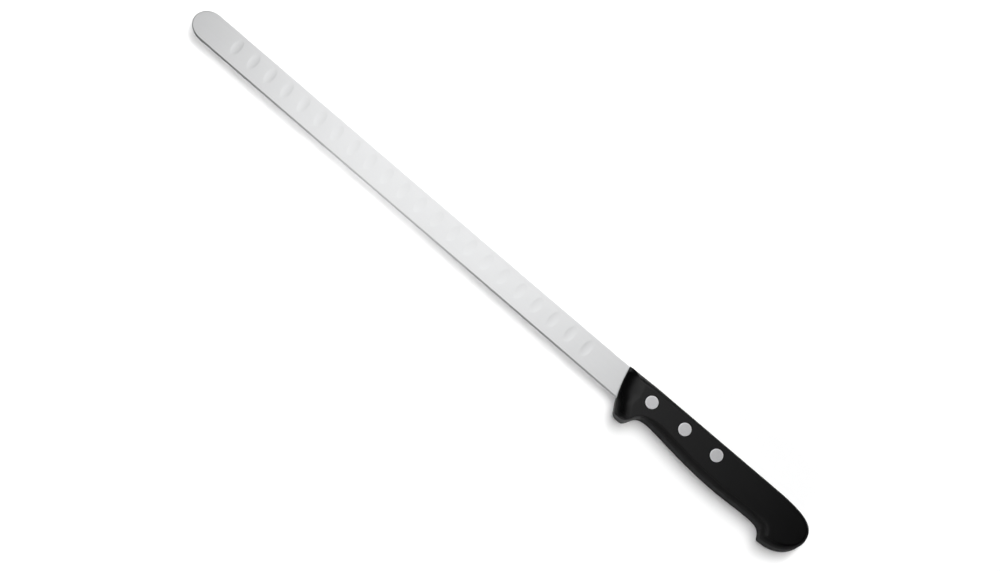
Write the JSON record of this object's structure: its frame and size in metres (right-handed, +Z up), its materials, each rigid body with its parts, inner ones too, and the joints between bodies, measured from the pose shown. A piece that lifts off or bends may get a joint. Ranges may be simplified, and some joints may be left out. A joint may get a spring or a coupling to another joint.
{
  "type": "salmon knife",
  "caption": "Long narrow slicing knife with a round nose, hollow-ground ovals on both blade faces, and a black two-scale handle with guard and hooked butt, held by cutler's rivets.",
  "frame": {"origin": "under the middle of the knife's box, on the surface that it lies on", "axes": "+X from the nose to the butt, +Y from the cutting edge to the spine, +Z up out of the left face"},
  "size_m": [0.4146, 0.0252, 0.016],
  "materials": {
    "blade_steel": "satin-ground stainless steel",
    "handle_plastic": "satin moulded black plastic",
    "rivet_metal": "ground flush, fine satin"
  },
  "bodies": {
    "root": {"blade": "blade_steel", "left_scale": "handle_plastic", "right_scale": "handle_plastic", "front_rivet_sleeve": "rivet_metal", "front_rivet_pin": "rivet_metal", "middle_rivet_sleeve": "rivet_metal", "middle_rivet_pin": "rivet_metal", "rear_rivet_sleeve": "rivet_metal", "rear_rivet_pin": "rivet_metal"}
  },
  "joints": []
}
